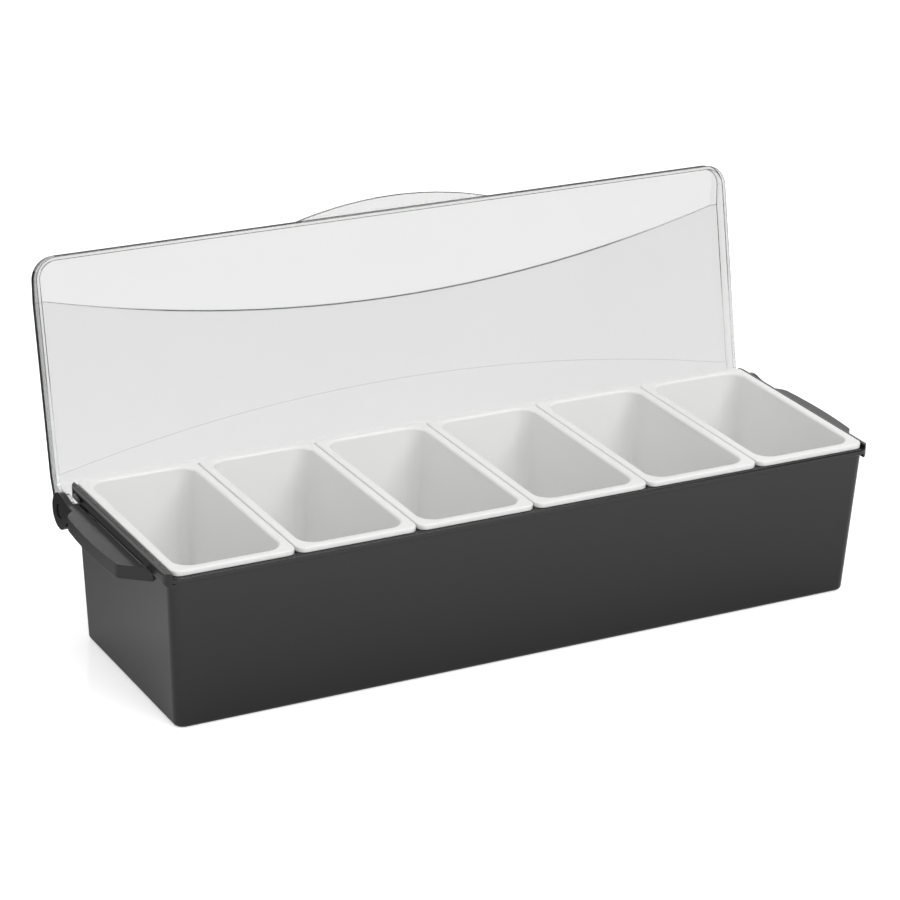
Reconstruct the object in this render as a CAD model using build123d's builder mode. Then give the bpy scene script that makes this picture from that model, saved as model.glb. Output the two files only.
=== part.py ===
from build123d import *
from math import cos, radians, sin, sqrt, tan
import os

os.makedirs("parts", exist_ok=True)

# A bar garnish tray: a moulded tub for ice, six lift-out cups that hang in it by their rims,
# and a clear crowned lid that swings on a pin at each end.
# Millimetres. X runs along the tub, Y from front to back, Z up from the middle of its underside.

# Cups
cup_count = 6
cup_pitch = 75.0
cup_gap = 0.7
cup_width = 139.3
cup_depth = 76.0
cup_wall = 2.0
cup_floor = 2.2
cup_rim_width = 5.5
cup_lip_height = 3.1
cup_lip_wall = 1.4
cup_rim_corner = 5.5
cup_body_corner = 12.0
cup_base_round = 6.0
cup_rim_round = 0.9
cup_mouth_round = 1.6
cup_draft = 4.0
cup_seat_gap = 0.2

# Tub
tub_height = 94.0
tub_wall = 2.4
tub_floor = 3.0
tub_corner = 6.2
tub_base_round = 2.5
tub_inner_round = 3.0
tub_end_draft = 3.15
tub_side_draft = 1.66
tub_side_clearance = 0.65
tub_end_clearance = 2.85

# Flange that carries the cups, with a raised rail at each end
flange_height = 3.4
flange_ledge = 2.25
flange_corner = 8.0
flange_round = 0.8
rail_gap = 0.55
rail_width = 3.6
rail_rise = 2.3
rail_drop = 5.4
rail_top_round = 2.2
rail_bottom_round = 1.2

# Lid
lid_wall = 2.2
lid_end_gap = 0.4
lid_side_gap = 2.5
lid_lap = 0.7
lid_rest_gap = 0.5
lid_front_corner = 13.0
lid_rear_corner = 4.0
lid_front_fall = 3.9
lid_rear_fall = 4.8
lid_fall_run = 26.0
lid_crown = 4.2
lid_margin = 6.9
lid_ear_flare = 5.7
lid_stop_gap = 0.3
lid_open_angle = 102.54
tab_chord = 130.0
tab_reach = 8.4

# Hinge
hinge_inset = 4.6
hinge_drop = 12.8
pin_radius = 2.6
pin_head_radius = 4.4
pin_head_height = 0.9
pin_head_recess = 1.5
pin_head_clearance = 0.15
pin_tail = 1.6
pin_tip = 0.5
pin_running_fit = 0.08
pin_press_fit = 0.02

# Handles and hinge lugs
handle_drop = 4.5
handle_depth = 8.0
handle_plate = 2.6
handle_skirt = 2.4
handle_slot_gap = 0.8
handle_width = 13.9
handle_bow = 1.8
handle_length = 72.5
handle_slant = 14.3
handle_web = 3.4
handle_setback = 26.3
handle_neck = 6.1
handle_front_round = 5.0
handle_rear_round = 9.0
ear_gap = 2.0
lug_gap = 0.9
lug_thickness = 3.7
lug_radius = 10.9
arm_ramp = 17.3
arm_crest_angle = 100.0
arm_throat_angle = 195.0

# Every cut runs this far past the face that it opens
overrun = 2.0

# Cup sizes that follow
cup_length = cup_pitch - cup_gap
row_half = (cup_count * cup_pitch - cup_gap) / 2
lip_bottom = tub_height + cup_seat_gap
cup_top = lip_bottom + cup_lip_height
cup_bottom = cup_top - cup_depth
mouth_length = cup_length - 2 * cup_rim_width
mouth_width = cup_width - 2 * cup_rim_width
body_length = mouth_length + 2 * cup_wall
body_width = mouth_width + 2 * cup_wall

# Tub sizes that follow
tub_top_half_length = row_half - cup_rim_width + cup_wall + tub_end_clearance + tub_wall
tub_top_half_width = body_width / 2 + tub_side_clearance + tub_wall
side_lean = tan(radians(tub_side_draft))
flange_width = cup_width + 2 * flange_ledge
rail_inner = row_half + rail_gap
flange_half = rail_inner + rail_width

# Hinge and lid sizes that follow; the lid's heights are measured from the hinge axis
hinge_y = flange_width / 2 - hinge_inset
hinge_z = tub_height - hinge_drop
lid_half = flange_half + lid_end_gap + lid_wall
lid_width = flange_width + 2 * (lid_side_gap + lid_wall)
lid_rear = lid_width / 2 - hinge_y
lid_front = lid_rear - lid_width
front_slope = lid_front_fall / lid_fall_run
rear_slope = lid_rear_fall / lid_fall_run
front_stretch = sqrt(1 + front_slope**2)
rear_stretch = sqrt(1 + rear_slope**2)
lip_inset = (lid_width - cup_width) / 2
rear_rest = cup_top + lid_rest_gap + lid_wall * rear_stretch - hinge_z
rear_edge = rear_rest - rear_slope * lip_inset
lid_level = rear_edge + lid_rear_fall
front_edge = lid_level - lid_front_fall
lid_rim = tub_height - lid_lap - hinge_z
crease = lid_half - lid_margin

# Handle and lug sizes that follow
handle_top = tub_height - handle_drop
handle_bottom = handle_top - handle_depth
handle_root = tub_top_half_length - tub_wall
slot_outer = flange_half + handle_slot_gap
handle_reach = slot_outer + handle_width
handle_shoulder = handle_reach - handle_bow
handle_rear = hinge_y - handle_setback
handle_front = handle_rear - handle_length
web_rear = hinge_y - lid_rear - ear_gap
lug_inner = lid_half + lug_gap
lug_outer = lug_inner + lug_thickness

# The lid is drawn in a tilted frame on the hinge axis, open as it stands at rest
open_cos = cos(radians(lid_open_angle))
open_sin = sin(radians(lid_open_angle))
hinge_point = (0, hinge_y, hinge_z)
lid_plan = Plane(origin=hinge_point, x_dir=(1, 0, 0), z_dir=(0, open_sin, open_cos))
lid_side = Plane(origin=hinge_point, x_dir=(0, open_cos, -open_sin), z_dir=(1, 0, 0))
lid_face = Plane(origin=hinge_point, x_dir=(1, 0, 0), z_dir=(0, -open_cos, open_sin))

# The lid's rear rim stops the open lid just off the tub's rear wall
rear_wall_y = tub_top_half_width - side_lean * (hinge_drop + lid_rear * open_sin)
lid_rear_rim = (rear_wall_y + lid_stop_gap - hinge_y - lid_rear * open_cos) / (
    open_sin - side_lean * open_cos
)


def save(part, name):
    part.label = name
    export_step(part, f"parts/{name}.step")


def tub_block(inset, foot, rise, foot_round):
    """The tub's drafted form, drawn in by an inset, from its foot to a rise above the flange."""
    with BuildPart() as block:
        with BuildSketch(Plane.XY.offset(foot)):
            Rectangle(2 * (tub_top_half_length - inset), 2 * (tub_top_half_width - inset))
        extrude(amount=tub_height + rise - foot)
        ends = block.faces().filter_by(Axis.X)
        draft(ends, Plane.XY.offset(tub_height), -tub_end_draft)
        sides = block.faces().filter_by(Axis.Y)
        draft(sides, Plane.XY.offset(tub_height), -tub_side_draft)
        fillet(block.edges().group_by(Axis.Z)[1], tub_corner - inset)
        fillet(block.faces().sort_by(Axis.Z)[0].edges(), foot_round)
    return block.part


# A bowed grip with a turned-down skirt, closed by a slanted web in front and a straight one behind
slant = handle_slant / (handle_shoulder - handle_root)
with BuildPart() as handle:
    with BuildSketch(Plane.XY.offset(handle_bottom)) as grip:
        root_front = (handle_root, handle_front - handle_slant)
        shoulder_front = (handle_shoulder, handle_front)
        bow_middle = (handle_reach, (handle_front + handle_rear) / 2)
        shoulder_rear = (handle_shoulder, handle_rear)
        neck = (lug_outer, handle_rear + handle_neck)
        with BuildLine():
            Line(root_front, shoulder_front)
            ThreePointArc(shoulder_front, bow_middle, shoulder_rear)
            Polyline(
                shoulder_rear,
                neck,
                (lug_outer, web_rear),
                (handle_root, web_rear),
                root_front,
            )
        make_face()
        fillet(grip.vertices().sort_by_distance(shoulder_front)[0], handle_front_round)
        fillet(grip.vertices().sort_by_distance(shoulder_rear)[0], handle_rear_round)
    extrude(amount=handle_depth)

    with BuildSketch(Plane.XY.offset(handle_bottom)):
        add(grip.sketch_local)
        offset(amount=-handle_skirt)
    extrude(amount=handle_depth - handle_plate, mode=Mode.SUBTRACT)

    with BuildSketch(Plane.XY.offset(handle_bottom - overrun)):
        web_shift = handle_web * sqrt(1 + slant**2)
        slot_root = handle_root - overrun
        slot_front_outer = handle_front - slant * (handle_shoulder - slot_outer) + web_shift
        slot_front_root = handle_front - slant * (handle_shoulder - slot_root) + web_shift
        with BuildLine():
            Polyline(
                (slot_root, slot_front_root),
                (slot_outer, slot_front_outer),
                (slot_outer, web_rear - handle_skirt),
                (slot_root, web_rear - handle_skirt),
                close=True,
            )
        make_face()
    extrude(amount=handle_depth + 2 * overrun, mode=Mode.SUBTRACT)

# A hinge lug: a round eye on an arm that grows out of the handle's rear end
with BuildPart() as lug:
    with BuildSketch(Plane.YZ.offset(lug_inner)) as lug_profile:
        crest = radians(arm_crest_angle)
        throat = radians(arm_throat_angle)
        arm_foot = hinge_y - arm_ramp
        with BuildLine():
            Polyline(
                (web_rear - handle_skirt, handle_top),
                (hinge_y + lug_radius * cos(crest), hinge_z + lug_radius * sin(crest)),
                (hinge_y, hinge_z),
                (hinge_y + lug_radius * cos(throat), hinge_z + lug_radius * sin(throat)),
                (arm_foot, handle_bottom),
                (arm_foot, handle_top),
                close=True,
            )
        make_face()
        with Locations((hinge_y, hinge_z)):
            Circle(lug_radius)
    extrude(amount=lug_thickness)
    with BuildSketch(Plane.YZ.offset(lug_inner - overrun)):
        with Locations((hinge_y, hinge_z)):
            Circle(pin_radius + pin_press_fit)
    extrude(amount=lug_thickness + 2 * overrun, mode=Mode.SUBTRACT)
    with BuildSketch(Plane.YZ.offset(lug_outer - pin_head_recess)):
        with Locations((hinge_y, hinge_z)):
            Circle(pin_head_radius + pin_head_clearance)
    extrude(amount=pin_head_recess + overrun, mode=Mode.SUBTRACT)

# The flange plate round the mouth, with softened edges
with BuildPart() as flange:
    with BuildSketch(Plane.XY.offset(tub_height - flange_height)):
        RectangleRounded(2 * flange_half, flange_width, flange_corner)
    extrude(amount=flange_height)
    fillet(flange.edges().group_by(Axis.Z)[0], flange_round)
    fillet(flange.edges().group_by(Axis.Z)[-1], flange_round)

# The end rails: a rounded section drawn across the tub, trimmed to the flange's outline
with BuildPart() as rails:
    with BuildSketch(Plane.XZ.offset(-flange_width / 2)) as rail_section:
        with BuildLine():
            Polyline(
                (handle_root, tub_height - rail_drop),
                (flange_half, tub_height - rail_drop),
                (flange_half, tub_height + rail_rise),
                (rail_inner, tub_height + rail_rise),
                (rail_inner, tub_height - flange_height),
                (handle_root, tub_height - flange_height),
                close=True,
            )
        make_face()
        crown_corner = (flange_half, tub_height + rail_rise)
        under_corner = (flange_half, tub_height - rail_drop)
        fillet(rail_section.vertices().sort_by_distance(crown_corner)[0], rail_top_round)
        fillet(rail_section.vertices().sort_by_distance(under_corner)[0], rail_bottom_round)
        mirror(about=Plane.YZ)
    extrude(amount=flange_width)
    with BuildSketch(Plane.XY.offset(tub_height - rail_drop - overrun)):
        RectangleRounded(2 * flange_half, flange_width, flange_corner)
    extrude(amount=rail_drop + rail_rise + 2 * overrun, mode=Mode.INTERSECT)

# The tub: drafted walls on a rounded base, with the flange, rails, handles and lugs moulded on
with BuildPart() as base_tub:
    add(tub_block(0, 0, 0, tub_base_round))
    add(flange.part)
    add(rails.part)
    add(handle.part)
    mirror(handle.part, about=Plane.YZ)
    add(lug.part)
    mirror(lug.part, about=Plane.YZ)
    add(tub_block(tub_wall, tub_floor, overrun, tub_inner_round), mode=Mode.SUBTRACT)
save(base_tub.part, "base_tub")


def cup_at(centre_x):
    """One cup: drafted walls, a rounded floor and a rim with a turned-down lip."""
    lip_corner = cup_rim_corner - cup_lip_wall
    at_lip = Plane((centre_x, 0, lip_bottom))
    at_top = Plane((centre_x, 0, cup_top))
    with BuildPart() as cup:
        with BuildSketch(at_lip):
            RectangleRounded(body_length, body_width, cup_body_corner)
        extrude(amount=cup_bottom - lip_bottom, taper=cup_draft)
        fillet(cup.faces().sort_by(Axis.Z)[0].edges(), cup_base_round)

        with BuildSketch(at_lip):
            RectangleRounded(cup_length, cup_width, cup_rim_corner)
        extrude(amount=cup_lip_height)
        fillet(cup.faces().sort_by(Axis.Z)[-1].edges(), cup_rim_round)

        with BuildSketch(at_lip):
            lip_length = cup_length - 2 * cup_lip_wall
            lip_width = cup_width - 2 * cup_lip_wall
            RectangleRounded(lip_length, lip_width, lip_corner)
            RectangleRounded(body_length, body_width, cup_body_corner, mode=Mode.SUBTRACT)
        extrude(amount=cup_lip_height - cup_wall, mode=Mode.SUBTRACT)

        with BuildSketch(at_top):
            RectangleRounded(mouth_length, mouth_width, cup_body_corner - cup_wall)
        extrude(amount=cup_floor - cup_depth, taper=cup_draft, mode=Mode.SUBTRACT)
        middle_of_floor = (centre_x, 0, cup_bottom + cup_floor)
        inside = cup.faces().filter_by(Axis.Z).sort_by_distance(middle_of_floor)[0]
        fillet(inside.edges(), cup_base_round - cup_wall)
        mouth = cup.faces().filter_by(Axis.Z).sort_by(Axis.Z)[-1].inner_wires()
        fillet(mouth.edges(), cup_mouth_round)
    return cup.part


for number in range(1, cup_count + 1):
    cup_x = (number - (cup_count + 1) / 2) * cup_pitch
    save(cup_at(cup_x), f"cup_{number}")


def lid_block(inset, foot):
    """The lid's outer form, drawn in by an inset: a rounded plan under a crowned, two-way fall."""
    front_sink = inset * front_stretch
    rear_sink = inset * rear_stretch
    edge_rise = front_edge - front_sink - rear_edge + rear_sink
    rear_run = (edge_rise + front_slope * lid_width) / (front_slope + rear_slope)
    ridge = rear_edge - rear_sink + rear_slope * rear_run
    with BuildPart() as block:
        with BuildSketch(lid_plan.offset(foot)):
            with Locations((0, (lid_front + lid_rear) / 2)):
                plan = Rectangle(2 * (lid_half - inset), lid_width - 2 * inset)
            fillet(plan.vertices().group_by(Axis.Y)[0], lid_front_corner - inset)
            fillet(plan.vertices().group_by(Axis.Y)[-1], lid_rear_corner - inset)
        extrude(amount=ridge - foot)
        with BuildSketch(lid_side):
            with BuildLine():
                Polyline(
                    (lid_front, foot),
                    (lid_front, front_edge - front_sink),
                    (lid_rear - rear_run, ridge),
                    (lid_rear, rear_edge - rear_sink),
                    (lid_rear, foot),
                    close=True,
                )
            make_face()
        extrude(amount=lid_half, both=True, mode=Mode.INTERSECT)
        with BuildSketch(lid_face.offset(-lid_rear)):
            level = lid_level - inset
            with BuildLine():
                ThreePointArc((-crease, level), (0, level + lid_crown), (crease, level))
                Polyline(
                    (crease, level),
                    (lid_half, level),
                    (lid_half, foot),
                    (-lid_half, foot),
                    (-lid_half, level),
                    (-crease, level),
                )
            make_face()
        extrude(amount=lid_width, mode=Mode.INTERSECT)
    return block.part


# The finger tab: a shallow arc that carries the lid's front slope past its edge
with BuildPart() as tab:
    tab_tip = lid_front - tab_reach
    tab_root = lid_front + lid_wall
    with BuildSketch(lid_plan.offset(front_edge - tab_reach)):
        with BuildLine():
            ThreePointArc((-tab_chord / 2, lid_front), (0, tab_tip), (tab_chord / 2, lid_front))
            Polyline(
                (tab_chord / 2, lid_front),
                (tab_chord / 2, tab_root),
                (-tab_chord / 2, tab_root),
                (-tab_chord / 2, lid_front),
            )
        make_face()
    extrude(amount=2 * tab_reach)
    with BuildSketch(lid_side):
        tip_level = front_edge - front_slope * tab_reach
        root_level = front_edge + front_slope * lid_wall
        sink = lid_wall * front_stretch
        with BuildLine():
            Polyline(
                (tab_tip, tip_level),
                (tab_root, root_level),
                (tab_root, root_level - sink),
                (tab_tip, tip_level - sink),
                close=True,
            )
        make_face()
    extrude(amount=tab_chord, both=True, mode=Mode.INTERSECT)

# The lid: a crowned shell with shallow front and end walls and a round ear at each rear corner
with BuildPart() as lid:
    add(lid_block(0, -lid_rear - overrun))
    with BuildSketch(lid_side):
        flare_front = -lid_rear - lid_ear_flare
        flare_foot = lid_rim - lid_ear_flare
        arc_share = 1 - sqrt(1 / 2)
        flare_middle = (
            flare_front + lid_ear_flare * (1 - arc_share),
            lid_rim - lid_ear_flare * arc_share,
        )
        peak = lid_level + lid_crown + overrun
        with BuildLine():
            Line((lid_front - overrun, lid_rim), (flare_front, lid_rim))
            ThreePointArc((flare_front, lid_rim), flare_middle, (-lid_rear, flare_foot))
            Line((-lid_rear, flare_foot), (-lid_rear, 0))
            ThreePointArc((-lid_rear, 0), (0, -lid_rear), (lid_rear, 0))
            Polyline(
                (lid_rear, 0),
                (lid_rear, peak),
                (lid_front - overrun, peak),
                (lid_front - overrun, lid_rim),
            )
        make_face()
    extrude(amount=lid_half, both=True, mode=Mode.INTERSECT)
    add(lid_block(lid_wall, -lid_rear - 2 * overrun), mode=Mode.SUBTRACT)
    with BuildSketch(lid_plan.offset(lid_rear_rim)):
        with Locations((0, lid_rear)):
            Rectangle(2 * (lid_half - lid_rear_corner), 2 * (lid_wall + overrun))
    extrude(amount=-lid_rear_rim - lid_rear - overrun, mode=Mode.SUBTRACT)
    with BuildSketch(lid_side):
        Circle(pin_radius + pin_running_fit)
    extrude(amount=lid_half + overrun, both=True, mode=Mode.SUBTRACT)
    add(tab.part)
save(lid.part, "lid")

# A hinge pin: pressed into the lug from outside, running in the lid's ear
with BuildPart() as hinge_pin_right:
    recess_floor = lug_outer - pin_head_recess
    pin_end = lid_half - lid_wall - pin_tail
    with BuildSketch(Plane.YZ.offset(pin_end)):
        with Locations((hinge_y, hinge_z)):
            Circle(pin_radius)
    extrude(amount=recess_floor - pin_end)
    chamfer(hinge_pin_right.faces().sort_by(Axis.X)[0].edges(), pin_tip)
    with BuildSketch(Plane.YZ.offset(recess_floor)):
        with Locations((hinge_y, hinge_z)):
            Circle(pin_head_radius)
    extrude(amount=pin_head_height)
    chamfer(hinge_pin_right.faces().sort_by(Axis.X)[-1].edges(), pin_tip)
save(hinge_pin_right.part, "hinge_pin_right")

with BuildPart() as hinge_pin_left:
    mirror(hinge_pin_right.part, about=Plane.YZ)
save(hinge_pin_left.part, "hinge_pin_left")
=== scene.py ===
import math

import bpy
from mathutils import Matrix, Vector

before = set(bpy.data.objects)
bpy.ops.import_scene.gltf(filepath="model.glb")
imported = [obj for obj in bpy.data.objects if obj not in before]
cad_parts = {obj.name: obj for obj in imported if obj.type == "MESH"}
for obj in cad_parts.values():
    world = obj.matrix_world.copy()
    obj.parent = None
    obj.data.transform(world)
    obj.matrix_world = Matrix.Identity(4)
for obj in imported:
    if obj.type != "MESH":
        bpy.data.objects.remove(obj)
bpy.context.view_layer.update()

MM = 0.001
WHITE = (1.0, 1.0, 1.0, 1.0)
BLACK = (0.0, 0.0, 0.0, 1.0)

# Black plastic of the tub and of the pins: a grey level and a roughness each, both of which
# change a little with the cloudy noise
TUB_SHADE = 0.0045
TUB_GLOSS = 0.16
PIN_SHADE = 0.005
PIN_GLOSS = 0.33
BLACK_IOR = 1.5
BLACK_SPREAD = 0.08
BLACK_CLOUD = {"scale": 14.0, "detail": 4.0}
BLACK_GRAIN = {"scale": 2600.0, "detail": 2.0}
BLACK_DULLER = 0.05
BLACK_SHINIER = 0.04

# White plastic of the cups
CUP_DARK = (0.858, 0.858, 0.846, 1.0)
CUP_LIGHT = (0.876, 0.876, 0.866, 1.0)
CUP_GLOSS = (0.27, 0.32)
CUP_CLOUD = {"scale": 7.0, "detail": 0.0}
CUP_GRAIN = {"scale": 900.0, "detail": 2.0}
CUP_DEPTH_SHARE = 0.15
CUP_DEPTH_COLOUR = (1.0, 0.95, 0.9)
CUP_DEPTH = 1.5 * MM

# Height of the moulded grain, and the round that softens the sharp edges of the mouldings
GRAIN_HEIGHT = 0.02 * MM
BLACK_GRAIN_STRENGTH = 0.5
CUP_GRAIN_STRENGTH = 0.3
EDGE_ROUND = 0.5 * MM
EDGE_SAMPLES = 6

# Clear plastic of the lid. Painted shade makes its edges and its front crease dark, its rear
# crease faintly;
# the places are metres across and up the open lid, the bends are cosines
# The lid's grey tint is partly the plastic's own faint cast and partly painted shade, standing in
# for the dimmer floor seen through the lid
LID_DARK = (0.60, 0.605, 0.60, 1.0)
LID_LIGHT = (0.63, 0.635, 0.63, 1.0)
LID_GLOSS = (0.02, 0.07)
LID_CLOUD = {"scale": 9.0, "detail": 4.0}
LID_IOR = 1.56
LID_EDGE_ROUND = 0.4 * MM
LID_SHADED_EDGE_WIDTH = 0.7 * MM
LID_SHADED_EDGE_BEND = (0.9975, 0.9999)
# Near-black colour of the painted shade on the lid's edges and creases
LID_EDGE_PAINTED_SHADE = (0.006, 0.006, 0.006, 1.0)
LID_SHADED_CREASE_WIDTH = 1.1 * MM
LID_SHADED_CREASE_BEND = (0.9991, 0.99998)
LID_SHADED_CREASE_SIDE = (0.150, 0.222)
LID_SHADED_CREASE_TOP = (0.200, 0.206)
LID_REAR_SHADE_SHARE = 0.3
LID_REAR_RUN = (0.125, 0.15)

# Floor: lifted to white where it is looked at. In reflections it is darker behind the tray,
# where the tray keeps the light off it, and brighter in front, where the front light falls
FLOOR_SIZE = 12.0
FLOOR_DROP = 0.2 * MM
FLOOR_COLOUR = (0.9, 0.9, 0.9, 1.0)
FLOOR_GLOSS = 0.12
FLOOR_IOR = 1.35
FLOOR_LIFT = 0.52
FLOOR_FALL = 0.15
FLOOR_FALL_RUN = (0.05, 0.24)
FLOOR_POOL = 0.5
FLOOR_POOL_RUN = (-0.35, -0.08)

# Soft boxes: place and size in metres, power in watts, all turned towards the tray
TRAY_CENTRE = (0.0, 0.0, 0.08)
SOFT_BOXES = (
    ("top_box", (0.0, 0.1, 1.9), (2.4, 1.6), 4),
    ("left_box", (-2.0, -0.6, 1.1), (1.4, 1.4), 3),
    ("front_box", (0.5, -2.2, 2.05), (2.2, 1.0), 46),
    ("back_box", (-0.9, 2.3, 1.6), (1.6, 1.0), 4),
)

# The studio beyond the floor: white as a backdrop, a plain level as light on the tray,
# and in reflections bright behind the tray and dim before it
WORLD_SEEN = 1.0
WORLD_LIGHT = 0.48
WORLD_BEHIND = 1.0
WORLD_BEFORE = 0.25
WORLD_RUN = (-0.5, 0.5)

# Camera, fitted to the photograph: degrees, metres and pixels of the 900 pixel frame
CAMERA_AZIMUTH = -28.60
CAMERA_ELEVATION = 22.31
CAMERA_ROLL = 1.67
CAMERA_TARGET = (-0.0193, 0.0, 0.1078)
CAMERA_DISTANCE = 1.908
CAMERA_FOCAL_PX = 3280
FRAME_PX = 900
SENSOR_MM = 36.0


class Nodes:
    """The node tree of a material or of the world, with short calls that add and join nodes."""

    def __init__(self, owner):
        owner.use_nodes = True
        self.owner = owner
        self.tree = owner.node_tree
        self.tree.nodes.clear()

    def add(self, kind, inputs=None, **properties):
        """A node with its properties set and its inputs fed."""
        node = self.tree.nodes.new(kind)
        for key, value in properties.items():
            setattr(node, key, value)
        for key, value in (inputs or {}).items():
            self.feed(node.inputs[key], value)
        return node

    def feed(self, socket, value):
        """Joins another node's output to an input, or sets the input's own value."""
        if isinstance(value, bpy.types.NodeSocket):
            self.tree.links.new(value, socket)
        else:
            socket.default_value = value

    def coords(self, kind="Object"):
        return self.add("ShaderNodeTexCoord").outputs[kind]

    def axes(self, vector):
        return self.add("ShaderNodeSeparateXYZ", {"Vector": vector}).outputs

    def noise(self, coords, scale, detail):
        inputs = {"Vector": coords, "Scale": scale, "Detail": detail}
        return self.add("ShaderNodeTexNoise", inputs).outputs["Fac"]

    def ramp(self, factor, low, high, start=0.3, end=0.7):
        """Maps start to end, by default a noise's usual range, to the values low to high."""
        inputs = {
            "Value": factor,
            "From Min": start,
            "From Max": end,
            "To Min": low,
            "To Max": high,
        }
        return self.add("ShaderNodeMapRange", inputs).outputs["Result"]

    def mix(self, factor, first, second, data_type="RGBA"):
        """Mixes two colours, or two numbers, by a factor."""
        node = self.add("ShaderNodeMix", {"Factor": factor}, data_type=data_type)
        self.feed(node.inputs["A"], first)
        self.feed(node.inputs["B"], second)
        return node.outputs["Result"]

    def math(self, operation, *values, clamp=False):
        inputs = dict(enumerate(values))
        return self.add("ShaderNodeMath", inputs, operation=operation, use_clamp=clamp).outputs[0]

    def sum(self, first, second):
        return self.add("ShaderNodeAddShader", {0: first, 1: second}).outputs[0]

    def rounded(self, radius):
        """The surface's normal, rounded over its edges."""
        node = self.add("ShaderNodeBevel", {"Radius": radius}, samples=EDGE_SAMPLES)
        return node.outputs["Normal"]

    def grained(self, height, strength):
        """A normal with a fine grain on rounded edges."""
        inputs = {
            "Height": height,
            "Distance": GRAIN_HEIGHT,
            "Strength": strength,
            "Normal": self.rounded(EDGE_ROUND),
        }
        return self.add("ShaderNodeBump", inputs).outputs["Normal"]

    def flatness(self, width):
        """How flat the surface is within a width: 1 where it is flat, less beside an edge."""
        flat = self.add("ShaderNodeNewGeometry").outputs["Normal"]
        inputs = {0: flat, 1: self.rounded(width)}
        alike = self.add("ShaderNodeVectorMath", inputs, operation="DOT_PRODUCT")
        return self.math("ABSOLUTE", alike.outputs["Value"])

    def surface(self, shader, output="ShaderNodeOutputMaterial"):
        self.add(output, {"Surface": shader})
        return self.owner


def black_plastic(name, shade, gloss):
    """Satin black moulded plastic: a fine spark-eroded grain and faint cloudy changes of gloss."""
    nodes = Nodes(bpy.data.materials.new(name))
    coords = nodes.coords()
    cloud = nodes.noise(coords, **BLACK_CLOUD)
    grain = nodes.noise(coords, **BLACK_GRAIN)
    dark = shade * (1 - BLACK_SPREAD)
    light = shade * (1 + BLACK_SPREAD)
    inputs = {
        "Base Color": nodes.mix(cloud, (dark, dark, dark, 1.0), (light, light, light, 1.0)),
        "Roughness": nodes.ramp(cloud, gloss - BLACK_SHINIER, gloss + BLACK_DULLER),
        "Normal": nodes.grained(grain, BLACK_GRAIN_STRENGTH),
        "IOR": BLACK_IOR,
    }
    return nodes.surface(nodes.add("ShaderNodeBsdfPrincipled", inputs).outputs[0])


def white_plastic(name):
    """White moulded plastic: slightly translucent, with a soft sheen and faint flow marks."""
    nodes = Nodes(bpy.data.materials.new(name))
    coords = nodes.coords()
    cloud = nodes.noise(coords, **CUP_CLOUD)
    grain = nodes.noise(coords, **CUP_GRAIN)
    inputs = {
        "Base Color": nodes.mix(cloud, CUP_DARK, CUP_LIGHT),
        "Roughness": nodes.ramp(cloud, *CUP_GLOSS, start=0.0, end=1.0),
        "Normal": nodes.grained(grain, CUP_GRAIN_STRENGTH),
        "Subsurface Weight": CUP_DEPTH_SHARE,
        "Subsurface Radius": CUP_DEPTH_COLOUR,
        "Subsurface Scale": CUP_DEPTH,
    }
    return nodes.surface(nodes.add("ShaderNodeBsdfPrincipled", inputs).outputs[0])


def clear_plastic(name):
    """Clear moulded plastic: a grey tint that is partly its own faint cast and partly painted
    shade, light wipe marks, and painted shade along its edges and creases.
    """
    nodes = Nodes(bpy.data.materials.new(name))
    coords = nodes.coords()
    cloud = nodes.noise(coords, **LID_CLOUD)
    place = nodes.axes(coords)
    across = nodes.math("ABSOLUTE", place["X"])
    # Painted shade: a mask that turns the colour near black along the edges, fainter low towards
    # the rear, and along the front crease
    edge_shade = nodes.math(
        "MULTIPLY",
        nodes.ramp(nodes.flatness(LID_SHADED_EDGE_WIDTH), 1.0, 0.0, *LID_SHADED_EDGE_BEND),
        nodes.ramp(place["Z"], LID_REAR_SHADE_SHARE, 1.0, *LID_REAR_RUN),
    )
    crease_shade = nodes.ramp(nodes.flatness(LID_SHADED_CREASE_WIDTH), 1.0, 0.0, *LID_SHADED_CREASE_BEND)
    for limit in (
        nodes.ramp(across, 1.0, 0.0, *LID_SHADED_CREASE_SIDE),
        nodes.ramp(place["Z"], 0.0, 1.0, *LID_REAR_RUN),
        nodes.ramp(place["Z"], 1.0, 0.0, *LID_SHADED_CREASE_TOP),
    ):
        crease_shade = nodes.math("MULTIPLY", crease_shade, limit)
    painted_lines = nodes.math("MAXIMUM", edge_shade, crease_shade)
    inputs = {
        "Base Color": nodes.mix(painted_lines, nodes.mix(cloud, LID_DARK, LID_LIGHT), LID_EDGE_PAINTED_SHADE),
        "Roughness": nodes.ramp(cloud, *LID_GLOSS),
        "Normal": nodes.rounded(LID_EDGE_ROUND),
        "Transmission Weight": 1.0,
        "IOR": LID_IOR,
    }
    return nodes.surface(nodes.add("ShaderNodeBsdfPrincipled", inputs).outputs[0])


def give(node_name, material):
    """Puts a material on every slot of a CAD node."""
    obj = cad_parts[node_name]
    if not obj.material_slots:
        obj.data.materials.append(material)
    for slot in obj.material_slots:
        slot.material = material


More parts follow.
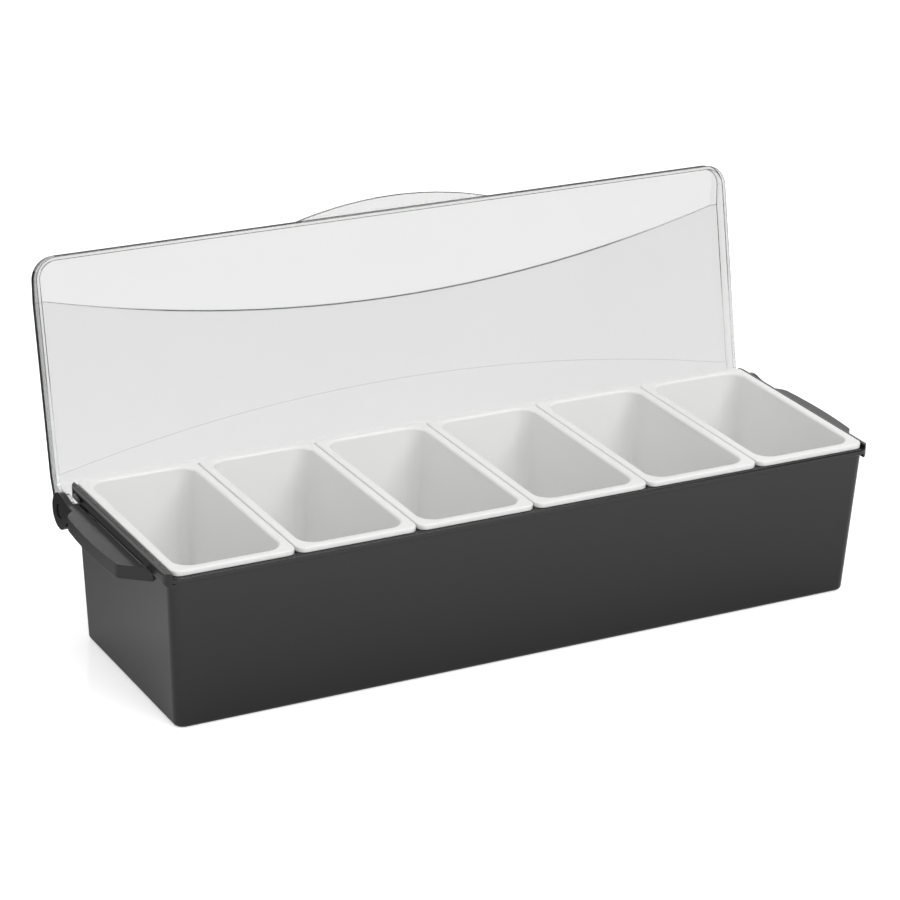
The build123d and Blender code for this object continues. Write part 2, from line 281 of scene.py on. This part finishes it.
def floor_material():
    """A white studio floor with a faint sheen."""
    nodes = Nodes(bpy.data.materials.new("studio_floor"))
    rays = nodes.add("ShaderNodeLightPath").outputs
    through = rays["Is Transmission Ray"]
    base = {"Base Color": FLOOR_COLOUR, "Roughness": FLOOR_GLOSS, "IOR": FLOOR_IOR}
    looked_at = nodes.math("MAXIMUM", rays["Is Camera Ray"], through)
    lift = nodes.math("MULTIPLY", looked_at, FLOOR_LIFT)
    seen = nodes.sum(
        nodes.add("ShaderNodeBsdfPrincipled", base).outputs[0],
        nodes.add("ShaderNodeEmission", {"Color": WHITE, "Strength": lift}).outputs[0],
    )
    depth = nodes.axes(nodes.coords())["Y"]
    fall = nodes.mix(nodes.ramp(depth, 1.0, FLOOR_FALL, *FLOOR_FALL_RUN), BLACK, WHITE)
    pool = nodes.ramp(depth, FLOOR_POOL, 0.0, *FLOOR_POOL_RUN)
    mirrored = nodes.sum(
        nodes.add("ShaderNodeBsdfDiffuse", {"Color": fall}).outputs[0],
        nodes.add("ShaderNodeEmission", {"Strength": pool}).outputs[0],
    )
    thrown_back = nodes.math("SUBTRACT", rays["Is Glossy Ray"], through, clamp=True)
    inputs = {0: thrown_back, 1: seen, 2: mirrored}
    return nodes.surface(nodes.add("ShaderNodeMixShader", inputs).outputs[0])


def build_floor():
    half = FLOOR_SIZE / 2
    mesh = bpy.data.meshes.new("studio_floor")
    corners = [(-half, -half, 0), (half, -half, 0), (half, half, 0), (-half, half, 0)]
    mesh.from_pydata(corners, [], [(0, 1, 2, 3)])
    floor = bpy.data.objects.new("studio_floor", mesh)
    floor.location.z = -FLOOR_DROP
    mesh.materials.append(floor_material())
    bpy.context.scene.collection.objects.link(floor)


def build_light(name, place, size, power):
    """A soft box at a place, turned towards the tray."""
    light = bpy.data.lights.new(name, "AREA")
    light.shape = "RECTANGLE"
    light.size, light.size_y = size
    light.energy = power
    lamp = bpy.data.objects.new(name, light)
    lamp.location = place
    direction = Vector(TRAY_CENTRE) - Vector(place)
    lamp.rotation_euler = direction.to_track_quat("-Z", "Y").to_euler()
    bpy.context.scene.collection.objects.link(lamp)


def build_world():
    world = bpy.data.worlds.new("studio")
    bpy.context.scene.world = world
    nodes = Nodes(world)
    rays = nodes.add("ShaderNodeLightPath").outputs
    depth = nodes.axes(nodes.coords("Generated"))["Y"]
    mirrored = nodes.ramp(depth, WORLD_BEFORE, WORLD_BEHIND, *WORLD_RUN)
    lit = nodes.mix(rays["Is Diffuse Ray"], mirrored, WORLD_LIGHT, "FLOAT")
    seen = nodes.mix(rays["Is Camera Ray"], lit, WORLD_SEEN, "FLOAT")
    background = nodes.add("ShaderNodeBackground", {"Color": WHITE, "Strength": seen})
    nodes.surface(background.outputs[0], "ShaderNodeOutputWorld")


def build_camera():
    """Places the camera on its fitted line of sight, with the photograph's slight roll."""
    azimuth = math.radians(CAMERA_AZIMUTH)
    elevation = math.radians(CAMERA_ELEVATION)
    roll = math.radians(CAMERA_ROLL)
    level = math.cos(elevation)
    forward = Vector(
        (-math.sin(azimuth) * level, math.cos(azimuth) * level, -math.sin(elevation))
    )
    right = Vector((math.cos(azimuth), math.sin(azimuth), 0.0))
    up = right.cross(forward)
    rolled_right = math.cos(roll) * right + math.sin(roll) * up
    rolled_up = -math.sin(roll) * right + math.cos(roll) * up
    place = Vector(CAMERA_TARGET) - CAMERA_DISTANCE * forward
    lens = bpy.data.cameras.new("camera")
    lens.sensor_width = SENSOR_MM
    lens.lens = CAMERA_FOCAL_PX / FRAME_PX * SENSOR_MM
    camera = bpy.data.objects.new("camera", lens)
    axes = Matrix((rolled_right, rolled_up, -forward)).transposed()
    camera.matrix_world = Matrix.Translation(place) @ axes.to_4x4()
    bpy.context.scene.collection.objects.link(camera)
    bpy.context.scene.camera = camera


tub_black = black_plastic("tub_black", TUB_SHADE, TUB_GLOSS)
pin_black = black_plastic("pin_black", PIN_SHADE, PIN_GLOSS)
cup_white = white_plastic("cup_white")
lid_clear = clear_plastic("lid_clear")

give("base_tub", tub_black)
give("hinge_pin_left", pin_black)
give("hinge_pin_right", pin_black)
give("lid", lid_clear)
# Clear plastic throws next to no shadow, so the lamps reach the cups through the closed lid
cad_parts["lid"].visible_shadow = False
for node_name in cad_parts:
    if node_name.startswith("cup_"):
        give(node_name, cup_white)

build_floor()
for soft_box in SOFT_BOXES:
    build_light(*soft_box)
build_world()
bpy.context.scene.view_settings.view_transform = "Standard"
build_camera()
